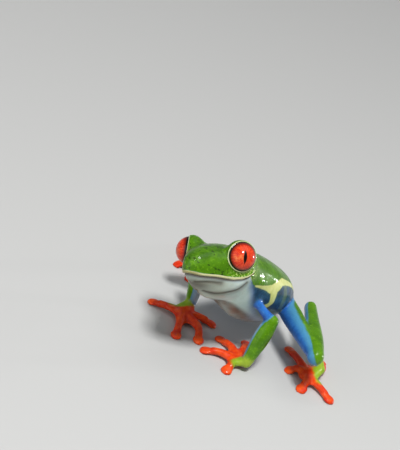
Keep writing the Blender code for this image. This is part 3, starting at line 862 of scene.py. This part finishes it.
print("points nearest to the body:", int((off_body < VOTE_REACH).sum()))

# %% The votes of the limbs
# the side of each limb that is green, and how far round the green reaches
OUTER = {"forearm": (0.9, -0.3, 0.1), "thigh": (0.0, 0.5, 0.87), "shank": (0.69, 0.64, 0.34),
         "tarsus": (0.7, 0.6, 0.2), "upper_arm": (0.9, -0.3, 0.1)}
GREEN_FROM = {"forearm": -0.10, "thigh": 0.80, "shank": -0.52, "tarsus": -0.2, "upper_arm": -0.10}
GREEN_SLOPE = 1.8  # mm, from a point square to the green side to one that faces it
YELLOW_FROM = {"forearm": (6, 0.88), "tarsus": (5, 0.55)}  # slope, share along the limb
ARMPIT_FADE, ELBOW_GREEN, YELLOW_OVER, PALE_UNDER = 24, 1.1, 0.4, 0.9
for side in SIDES:
    mirror = np.array((side_sign[side], 1, 1))
    for kind, a, b in LIMBS:
        along, out, gap = on_limb(points, joint[side, a], joint[side, b], GIRTH[kind])
        green = GREEN_SLOPE * (out @ (unit(OUTER[kind]) * mirror) - GREEN_FROM[kind])
        yellow = pale = OUTSIDE
        azure = 1.0
        if kind == "upper_arm":
            green = green - ARMPIT_FADE * (1 - along)
            azure = ramp(along, 0.12, 0.45)
        if kind == "forearm":
            green = green + ELBOW_GREEN * (1 - ramp(along, 0.0, 0.14))
            pale = -PALE_UNDER - green
        if kind in YELLOW_FROM:
            steep, start = YELLOW_FROM[kind]
            yellow = steep * (along - start)
        yellow = np.minimum(yellow, green + YELLOW_OVER)
        vote(gap, green=green, yellow=yellow, pale=pale, limb=azure)
print(len(LIMBS) * len(SIDES), "limbs have voted")

# %% The votes of pads and digits
# pads and digits are orange, with yellow along their outer side
ORANGE_PAD, ORANGE_DIGIT, YELLOW_INSET = 1.2, 1.5, 0.3
YELLOW_SIDE = {"hand": ("finger_4", 0.8), "foot": ("toe_4", 0.75)}
YELLOW_GIRTH = (2.3, 1.9, 1.6)
for paw in paws:
    gap = on_limb(points, paw["joint"], paw["middle"], (1.2, 1.9, PALM_WIDTH))[2]
    outermost, share = YELLOW_SIDE[paw["kind"]]
    end = paw["joint"] + (digit_paths[f"{paw['side']}_{outermost}"][1] - paw["joint"]) * share
    patch = -on_limb(points, paw["joint"], end, YELLOW_GIRTH)[2]
    vote(gap, orange=ORANGE_PAD, yellow=patch, limb=1.0)
    for name in paw["digits"]:
        path = digit_paths[name]
        for a, b, girth in ((*path[:2], DIGIT_GIRTH[:3]), (*path[1:], DIGIT_GIRTH[2:])):
            gap = on_limb(points, a, b, girth)[2]
            yellow = np.minimum(patch - YELLOW_INSET, 1.0)
            vote(gap, orange=ORANGE_DIGIT, yellow=yellow, limb=1.0)
field = {name: values / vote_sum for name, values in total.items()}
on_body = np.exp(-np.maximum(off_body, VOTE_FLOOR) / VOTE_REACH) / vote_sum
print({name: int((values > 0).sum()) for name, values in field.items()}, "points inside")

# %% [markdown]
# ## Bars, lips and lids
# The flank of this species is dark blue, crossed by cream bars that hang from a cream band
# under the green. The bars are drawn as bands round lines on the flank. Their coordinates
# are millimetres behind the snout and degrees round the flank, so both flanks carry them.
# A second bar further back is painted in shade, as a dim grey green.

# %% Cream markings
BODY_SHARE = 0.3  # bars are drawn where the body has at least this share of the vote


def inside_line(line):
    """Millimetres inside a band round a line on the flank: distance, degrees, half width."""
    line = np.array(line) * (1, FLANK_MM, 1)
    spot = np.stack((snout_distance, round_flank * FLANK_MM), axis=1)
    best = np.full(len(spot), OUTSIDE)
    for a, b in zip(line[:-1], line[1:]):
        span = b[:2] - a[:2]
        t = np.clip((spot - a[:2]) @ span / (span @ span), 0, 1)
        away = np.linalg.norm(spot - a[:2] - t[:, None] * span, axis=1)
        best = np.maximum(best, a[2] + t * (b[2] - a[2]) - away)
    return np.where(on_body > BODY_SHARE, best, OUTSIDE)


BAND = ((20.8, -22.5, 0.15), (23.2, -17.5, 0.4), (25.8, -13.0, 0.6), (28.2, -8.0, 1.0),
        (30.3, 4.0, 1.3), (32.1, 19.0, 0.85), (34.3, 25.0, 0.7), (37.0, 28.5, 0.65),
        (41.0, 30.0, 0.5), (45.0, 27.0, 0.3))
BAR = ((29.9, -5.0, 1.4), (30.9, -13.0, 1.15), (31.9, -21.0, 0.95), (31.8, -28.0, 0.75),
       (31.3, -33.0, 0.6), (30.4, -37.0, 0.4))
# a second cream bar further back, painted in shade as a dim grey green
SHADED_CREAM_BAR = ((34.6, 22.0, 1.0), (35.2, 12.0, 0.9), (36.5, 3.0, 0.9), (37.4, -8.0, 0.9),
             (38.9, -19.0, 0.85), (41.0, -29.0, 0.6))
LOW_EDGE_S, LOW_EDGE_DEG = (20.0, 30.0, 36.0, 42.0, 54.3), (-58.0, -42.0, -29.0, -24.0, -20.0)
field["cream"] = np.maximum(inside_line(BAND), inside_line(BAR))
field["shaded_cream_bar"] = inside_line(SHADED_CREAM_BAR)
low_edge = eased(LOW_EDGE_S, LOW_EDGE_DEG, snout_distance)
field["low_flank"] = (low_edge - round_flank) * FLANK_MM
print("cream on", int((field["cream"] > 0).sum()), "points")

# %% Lips, lids and the flecked cheek, its flecks brightened as painted glints
FAR = 3.0  # mm, for points that are nowhere near a line
LID_COAT, LID_REACH = 0.30, 1.5  # the lid's colours run over its bead, and no further
field["lip"] = np.where(sure > 0.02, height, FAR)
field["lid"] = np.full(len(points), FAR)
field["cheek"] = np.zeros(len(points))
for side in SIDES:
    reach, angle = around_eye(points, side)
    rim = np.radians(angle - LID_ANGLE) * EYE_RADIUS + np.maximum(reach - EYE_RADIUS - LID_COAT, 0)
    field["lid"] = np.where(reach < EYE_RADIUS + LID_REACH, rim, field["lid"])
    below = ramp(-(points - eye_centre[side]) @ UP, 1.5, 4.0) * (1 - ramp(f, 0.0, 3.5))
    below = below * (1 - ramp(reach, 6.5, 9.0)) * ramp(angle, 84.0, 90.0)
    field["cheek"] = np.maximum(field["cheek"], below)
print("cheeks of", int((field["cheek"] > 0.5).sum()), "points")

# %% Painted shade: nostrils, creases, throat, the keel of the chest and the top of the head and back
NOSTRIL_SHADE_WIDTH, CREASE_SHADE_SHARE = 0.30, 0.7
# where the brown painted shade under the chest and belly begins, in degrees round the flank at
# distances from the snout
KEEL_S = (10.0, 13.0, 17.0, 19.3, 22.6, 26.0, 30.0, 54.3)
KEEL_DEG = (-86.0, -82.0, -78.0, -72.0, -68.5, -66.0, -62.0, -55.0)
# painted shade in the nostrils and in the throat's creases
pit = np.minimum(from_spot(points, NOSTRIL, 1), from_spot(points, NOSTRIL, -1))
field["pit_and_crease_shade"] = np.maximum(throat_crease * CREASE_SHADE_SHARE, bell(pit, NOSTRIL_SHADE_WIDTH))
# painted shade: brown along the keel of the chest and belly, strongest at its edge
past_edge = eased(KEEL_S, KEEL_DEG, snout_distance) - round_flank
keel_shade_paint = ramp(past_edge, -5.0, 5.0) * (1 - 0.35 * ramp(past_edge, 8.0, 24.0))
keel_shade_paint = keel_shade_paint * ramp(snout_distance, 11.0, 16.0)
# painted shade: brown under the snout, on the throat's right side and along its creases
throat_shade_paint = (ramp(f, 0.0, 8.0) * ramp(-u, 2.6, 4.6)
                + 0.9 * ramp(-l, 0.5, 5.0) * ramp(f, -2.0, 3.0) * ramp(-u, 2.6, 3.6))
throat_shade_paint = np.maximum(np.minimum(throat_shade_paint, 1.0), 0.8 * throat_shade)
field["underside_shade"] = np.maximum(throat_shade_paint, keel_shade_paint)
field["tip"] = ramp(f, 7.5, 10.0)
field["face"] = ramp(f, -4.0, 2.0)
# painted shade: darker green between the eyes, over the top of the head and along the ridge of the back
painted_crown_shade = ramp(f, -6.0, 2.0) * ramp(u, 0.5, 3.0) * (1 - ramp(np.abs(l), 3.5, 6.5))
back_ridge_shade = ramp(snout_distance, 16.0, 20.0) * ramp(round_flank, 30.0, 75.0)
field["painted_crown_shade"] = np.maximum(painted_crown_shade, back_ridge_shade)


def put_fields(mesh, fields):
    """Store one number a point under each name, for a material to read."""
    for name, values in fields.items():
        layer = mesh.attributes.new(name, "FLOAT", "POINT")
        layer.data.foreach_set("value", values.astype(np.float32))
    print("fields:", ", ".join(sorted(fields)))


put_fields(mesh, field)

# %% [markdown]
# ## The skin's material
# Frog skin is coloured, slightly translucent and wet. The material stacks the markings and the
# painted shade from the deepest to the topmost, varies each with noise, and lies under a thin
# clear coat that gives the small hard glints. A bump of fine grains stands for the glands of the skin.


# %% Small helpers for nodes
EDGE_GRAIN = 900.0  # cells to the metre in the noise that moves a marking's edge


class Nodes:
    """A material's node tree with short ways to add nodes and join them."""

    def __init__(self, name):
        self.material = bpy.data.materials.new(name)
        self.material.use_nodes = True
        self.tree = self.material.node_tree
        self.shader = self.tree.nodes["Principled BSDF"]

    def add(self, kind, settings=(), **inputs):
        node = self.tree.nodes.new(kind)
        for key, value in dict(settings).items():
            setattr(node, key, value)
        for key, value in inputs.items():
            self.set(node.inputs[key.replace("_", " ")], value)
        return node

    def set(self, socket, value):
        """Give a socket a node's output, a field's name, a number or a red, green and blue."""
        value = self.field(value) if isinstance(value, str) else value
        if hasattr(value, "links"):
            self.tree.links.new(value, socket)
        else:
            socket.default_value = (*value, 1.0) if socket.type == "RGBA" else value

    def surface(self, **inputs):
        """Set or join the shader's own sockets."""
        for key, value in inputs.items():
            self.set(self.shader.inputs[key.replace("_", " ")], value)

    def math(self, operation, a, b=0.0):
        node = self.add("ShaderNodeMath", {"operation": operation})
        self.set(node.inputs[0], a)
        self.set(node.inputs[1], b)
        return node.outputs[0]

    def times(self, a, b):
        return self.math("MULTIPLY", a, b)

    def plus(self, a, b):
        return self.math("ADD", a, b)

    def length(self, x, y):
        """The square root of x squared plus y squared."""
        return self.math("SQRT", self.plus(self.times(x, x), self.times(y, y)))

    def field(self, name):
        """The node that reads a field of the mesh, made when it is first asked for."""
        named = {"attribute_name": name, "name": name}
        node = self.tree.nodes.get(name) or self.add("ShaderNodeAttribute", named)
        return node.outputs["Fac"]

    def place(self):
        node = self.tree.nodes.get("Texture Coordinate") or self.add("ShaderNodeTexCoord")
        return node.outputs["Object"]

    def noise(self, scale, detail=3.0, roughness=0.55):
        """Noise of the skin's own place, scale in cells to the metre."""
        return self.add("ShaderNodeTexNoise", Vector=self.place(), Scale=scale, Detail=detail,
                        Roughness=roughness).outputs["Fac"]

    def between(self, value, low, high, to_low=0.0, to_high=1.0):
        """A smooth step of value from low to high."""
        node = self.add("ShaderNodeMapRange", {"interpolation_type": "SMOOTHSTEP"}, Value=value,
                        From_Min=low, From_Max=high, To_Min=to_low, To_Max=to_high)
        return node.outputs["Result"]

    def mix(self, share, a, b):
        """Colour a where the share is 0, and colour b where it is 1."""
        node = self.add("ShaderNodeMix", {"data_type": "RGBA"})
        for socket, value in ((0, share), (6, a), (7, b)):
            self.set(node.inputs[socket], value)
        return node.outputs[2]

    def coats(self, colour, *over):
        """Lay further colours over a colour, each by its own share, one after another."""
        for share, paint in over:
            colour = self.mix(share, colour, paint)
        return colour

    def cut(self, name, soft, wobble):
        """1 inside a field and 0 outside, its edge moved to and fro by noise."""
        shift = self.times(self.math("SUBTRACT", self.noise(EDGE_GRAIN), 0.5), wobble)
        return self.between(self.plus(name, shift), -soft, soft)


# %% Colours of the back
look = Nodes("moist frog skin")
broad = look.noise(150.0, 4.0, 0.6)
middle = look.noise(420.0, 4.0, 0.6)
fine = look.noise(1700.0, 3.0, 0.6)
# painted shade on the top of the head and back
painted_crown_shade = look.times("painted_crown_shade", look.between(middle, 0.35, 0.6, 0.85, 0.40))
# the cheek's own pale flecks, brightened to stand as painted glints of its wet grain
flecks_and_glints = look.times("cheek", look.between(look.noise(2200.0, 2.0), 0.50, 0.60))
specks = look.times("face", look.between(look.noise(1000.0, 1.0), 0.61, 0.68))
green = look.coats(
    look.mix(look.between(broad, 0.35, 0.65), (0.052, 0.160, 0.001), (0.087, 0.240, 0.002)),
    (look.between(middle, 0.50, 0.72, 0.0, 0.8), (0.125, 0.31, 0.003)),
    (look.between(fine, 0.55, 0.75, 0.0, 0.7), (0.17, 0.38, 0.01)),
    (painted_crown_shade, (0.032, 0.105, 0.002)),
    (look.times(flecks_and_glints, 0.85), (0.50, 0.66, 0.16)),
    (look.times(specks, 0.75), (0.012, 0.030, 0.002)))
print("green of the back:", len(look.tree.nodes), "nodes")

# %% Colours of the flanks, limbs, hands and feet
azure = look.coats(
    look.mix(look.between(middle, 0.3, 0.7), (0.014, 0.095, 0.39), (0.030, 0.17, 0.54)),
    (look.between(fine, 0.58, 0.74, 0.0, 0.5), (0.10, 0.28, 0.50)),
    (look.between("green", -1.9, -0.2, 0.0, 0.75), (0.08, 0.29, 0.40)))
navy = look.coats(
    look.mix(look.between(middle, 0.35, 0.65), (0.014, 0.045, 0.085), (0.026, 0.085, 0.17)),
    (look.cut("low_flank", 0.6, 0.9), (0.12, 0.20, 0.20)),
    (look.between("cream", -0.7, -0.1, 0.0, 0.6), (0.05, 0.14, 0.11)),
    (look.between("pale", -2.0, -0.6, 0.0, 0.7), (0.16, 0.25, 0.42)))
blue = look.mix(look.between("limb", 0.2, 0.8), navy, azure)
yellow = look.mix(look.between(middle, 0.3, 0.7), (0.20, 0.36, 0.015), (0.32, 0.44, 0.03))
orange = look.mix(look.between(middle, 0.35, 0.65), (0.64, 0.028, 0.004), (0.80, 0.085, 0.008))
cream = look.mix(look.between(middle, 0.3, 0.7), (0.60, 0.63, 0.18), (0.72, 0.74, 0.30))
print("blues, yellow, orange and cream:", len(look.tree.nodes), "nodes")

# %% Colours of the belly and throat
belly = look.mix(look.between(broad, 0.3, 0.7), (0.48, 0.60, 0.56), (0.62, 0.74, 0.70))
throat = look.mix(look.between(broad, 0.3, 0.7), (0.36, 0.41, 0.33), (0.48, 0.54, 0.46))
# brown painted shade under the throat and along the keel
shade_paint_share = look.times("underside_shade", look.between(look.noise(300.0, 3.0), 0.30, 0.70, 0.72, 0.90))
pale = look.coats(belly, ("face", throat), (shade_paint_share, (0.085, 0.062, 0.038)))
print("pale belly:", len(look.tree.nodes), "nodes")

# %% Stacking the markings
# the second cream bar in painted shade
bar_in_shade = look.times(look.cut("shaded_cream_bar", 0.50, 0.5), 0.75)
lip_cream = look.mix("tip", (0.68, 0.66, 0.34), (0.42, 0.38, 0.16))
stripe = look.times(look.between("lip", -0.02, 0.10), look.between("lip", 0.52, 0.72, 1.0, 0.0))
# painted shade in the mouth's groove, under the upper lip
mouth_groove_shade = look.times(look.between("lip", -0.75, -0.15), look.between("lip", -0.02, 0.08, 1.0, 0.0))
ring = look.times(look.between("lid", 0.03, 0.08), look.between("lid", 0.17, 0.26, 0.9, 0.0))
colour = look.coats(
    blue,
    (look.cut("pale", 1.5, 0.5), pale),
    (bar_in_shade, (0.12, 0.19, 0.12)),
    (look.cut("green", 0.16, 0.35), green),
    (look.cut("orange", 0.35, 0.5), orange),
    (look.cut("yellow", 0.45, 0.6), yellow),
    (look.cut("cream", 0.16, 0.30), cream),
    (look.times(mouth_groove_shade, 0.85), (0.06, 0.035, 0.018)),
    (stripe, lip_cream),
    (look.between("lid", 0.02, 0.06, 0.9, 0.0), (0.01, 0.01, 0.006)),
    (ring, (0.62, 0.66, 0.36)),
    # painted shade in the nostrils and creases
    (look.times("pit_and_crease_shade", 0.85), (0.03, 0.02, 0.01)))
print("all markings:", len(look.tree.nodes), "nodes")

# %% Wetness and grain
look.surface(Base_Color=colour, Roughness=look.between(look.noise(700.0), 0.3, 0.7, 0.34, 0.50),
             Specular_IOR_Level=0.10, Subsurface_Weight=0.10, Subsurface_Radius=(1.0, 0.5, 0.3),
             Subsurface_Scale=0.0005, Coat_Weight=0.40, Coat_Roughness=0.10)
grains = look.add("ShaderNodeTexVoronoi", {"feature": "SMOOTH_F1"}, Vector=look.place(), Scale=2600.0)
grain = look.math("SUBTRACT", fine, look.times(grains.outputs["Distance"], 0.7))
bump = look.add("ShaderNodeBump", Height=grain, Strength=0.5, Distance=0.0001)
grainy = look.times("face", look.times(fine, 0.6))
ripple = look.add("ShaderNodeBump", Height=look.plus(look.noise(750.0, 1.0), grainy),
                  Strength=0.45, Distance=0.00022)
look.surface(Normal=bump.outputs["Normal"], Coat_Normal=ripple.outputs["Normal"])
mesh.materials.clear()
mesh.materials.append(look.material)
mesh.shade_smooth()
print(look.material.name, "has", len(look.tree.nodes), "nodes")

# %% [markdown]
# ## The eyes
# Each eyeball is a polished ball in its socket. Its pattern is stated in the eye's own
# coordinates: across and up from the middle of the gaze. The iris is orange red with fine
# rays, the pupil an upright spindle, and the rim under the lid is black. A painted reflection
# lightens the iris, less on the right eye, and painted shade darkens its outer edge.

# %% Eyeballs
GAZE_TURN, GAZE_TILT = 50.5, 0.5
PUPIL_HIGH, PUPIL_WIDE = 1.75, 0.42  # half height and half width
POLE_GAP = 0.02  # radians left open, closed by a fan
PATCH_X, PATCH_Y = -1.35, -0.25  # middle of the iris's painted reflection
REFLECTION_BY_EYE = {"left": 1.0, "right": 0.25}  # the painted reflection is weaker on the right eye, painted as lying in shade


def eyeball(side, rows=72, sides=96):
    """A sphere whose poles lie on the line of sight, as rings of equal steps of angle.

    A point's across and up from the middle of the gaze are kept as fields, and so is how far
    it lies past the rim of the lid.
    """
    sight = looking(side, GAZE_TURN, GAZE_TILT)
    sideways = unit(np.cross(UP, sight))
    upward = np.cross(sight, sideways)
    polar = np.linspace(POLE_GAP, math.pi - POLE_GAP, rows)[:, None, None]
    a = ring_angles(sides)[None, :, None]
    outward = sideways * np.cos(a) + upward * np.sin(a)
    rings = eye_centre[side] + EYE_RADIUS * (sight * np.cos(polar) + outward * np.sin(polar))
    ball = make_piece(side + "_eyeball", [closed_tube(rings)])
    places = points_of(ball.data)
    spot = places - eye_centre[side]
    past_rim = np.radians(around_eye(places, side)[1] - LID_ANGLE) * EYE_RADIUS
    put_fields(ball.data, {"iris_x": spot @ sideways * side_sign[side], "iris_y": spot @ upward,
                           "reflection_share": np.full(len(spot), REFLECTION_BY_EYE[side]),
                           "under_lid": past_rim})
    ball.data.shade_smooth()
    return ball


# %% The eye's material
eye = Nodes("wet red eye")
x, y = "iris_x", "iris_y"
turn = eye.math("ARCTAN2", y, x)
reach = eye.length(x, y)
ray_place = eye.add("ShaderNodeCombineXYZ", X=eye.math("COSINE", turn), Y=eye.math("SINE", turn),
                    Z=eye.times(reach, 0.12))
rays = eye.add("ShaderNodeTexNoise", Vector=ray_place.outputs[0], Scale=9.0, Detail=4.0,
               Roughness=0.6).outputs["Fac"]
cloud = eye.noise(380.0, 4.0, 0.6)
# a painted reflection, lighter orange, on the iris beside the pupil
off_reflection = eye.length(eye.plus(x, -PATCH_X), eye.plus(y, -PATCH_Y))
painted_reflection = eye.times(eye.between(off_reflection, 0.5, 1.6, 1.0, 0.05), eye.between(cloud, 0.40, 0.62))
share = eye.math("DIVIDE", y, PUPIL_HIGH)
spindle = eye.times(eye.math("SUBTRACT", 1.0, eye.times(share, share)), PUPIL_WIDE)
slit = eye.math("SUBTRACT", spindle, eye.math("ABSOLUTE", x))
iris = eye.coats(
    eye.mix(eye.between(rays, 0.35, 0.68), (0.52, 0.016, 0.005), (0.76, 0.070, 0.016)),
    (eye.times(painted_reflection, "reflection_share"), (0.90, 0.27, 0.08)),
    # painted shade darkens the iris's outer edge, which is most of what shows of the far eye
    (eye.between(reach, 2.7, 3.4, 0.0, 0.95), (0.12, 0.004, 0.002)),
    (eye.between(slit, -0.14, -0.02, 0.0, 0.55), (0.30, 0.01, 0.005)),
    (eye.between(slit, -0.03, 0.03), (0.001, 0.001, 0.001)),
    (eye.between("under_lid", -0.62, -0.46), (0.004, 0.003, 0.003)))
eye.surface(Base_Color=iris, Roughness=0.30, Specular_IOR_Level=0.10, Coat_Weight=0.45,
            Coat_Roughness=0.02)
for side in SIDES:
    ball = eyeball(side)
    ball.data.materials.append(eye.material)
    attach(ball, "root")
    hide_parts(side + "_eye")
    print(ball.name, len(ball.data.polygons), "faces")

# %% [markdown]
# ## Taking its place on the frame
# The skin stands for every solid but the eyes.

# %% The skin rides the frame
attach(skin, "root")
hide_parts(*[name for name in frame["nodes"] if not name.endswith("_eye")])
mesh.calc_loop_triangles()
print("skin:", len(mesh.loop_triangles), "triangles")

# %% [markdown]
# ## Camera, floor and light
# The camera stands in front of the frog's left shoulder, a little above it, and is turned
# with the animal because the frog now rests on a level floor. A long lens at a distance
# keeps its proportions true.

# %% Camera
LENS, NEAREST = 138.46, 0.01
CAMERA_FROM_HEAD = (201.22, -322.09, 210.47)
VIEW, VIEW_TOP = (-0.48086, 0.74164, -0.46769), (-0.55071, 0.1596, 0.8193)
camera = added("camera", bpy.data.cameras.new("camera"))
bpy.context.scene.camera = camera
camera.data.lens = LENS
camera.data.clip_start = NEAREST
camera_place = HEAD + np.array(CAMERA_FROM_HEAD)
view = unit(VIEW)
view_right = unit(np.cross(view, VIEW_TOP))
view_up = np.cross(view_right, view)
turned = Matrix(np.stack((view_right, view_up, -view), axis=1).tolist()).to_4x4()
camera.matrix_world = Matrix.Translation(Vector(camera_place * MM)) @ turned
print("camera at", (camera_place * MM).round(3), "m, looking", view.round(3))

# %% Floor
FLOOR_SIZE, FLOOR_DROP = 2.0, 0.0001
corners = [(x * FLOOR_SIZE, y * FLOOR_SIZE, -FLOOR_DROP)
           for x, y in ((-1, -1), (1, -1), (1, 1), (-1, 1))]
floor_mesh = bpy.data.meshes.new("floor")
floor_mesh.from_pydata(corners, [], [(0, 1, 2, 3)])
floor = added("floor", floor_mesh)
paper = Nodes("plain pale paper")
paper.surface(Base_Color=(0.50, 0.50, 0.49), Roughness=0.9)
floor_mesh.materials.append(paper.material)
print("floor", 2 * FLOOR_SIZE, "m wide,", FLOOR_DROP, "m under the pads")

# %% Lights
AIM = Vector((0, 0, 0.015))


def lamp(name, place, size, watts):
    """A square lamp aimed at the frog; place and size in metres."""
    light = added(name, bpy.data.lights.new(name, "AREA"))
    light.data.size = size
    light.data.energy = watts
    light.location = tuple(place)
    light.rotation_euler = (AIM - light.location).to_track_quat("-Z", "Y").to_euler()
    print(name, "lamp of", watts, "W")


lamp("key", -view * 0.55 + view_up * 0.39 + view_right * 0.20, 0.12, 4.7)
lamp("glint", view_right * 0.54 + view * 0.24, 0.03, 0.9)
lamp("fill", -view * 1.0 + view_up * 0.3 - view_right * 1.0, 1.4, 6.5)
lamp("top", (0.0, 0.15, 0.8), 0.7, 1.4)
world = bpy.data.worlds.new("studio")
world.use_nodes = True
world.node_tree.nodes["Background"].inputs["Color"].default_value = (0.95, 0.97, 1.0, 1.0)
world.node_tree.nodes["Background"].inputs["Strength"].default_value = 0.20
bpy.context.scene.world = world
bpy.context.scene.view_settings.view_transform = "Standard"

# %% [markdown]
# ## Finishing
# The last cell only marks the end of the script.

# %% The end
print("the scene is built")
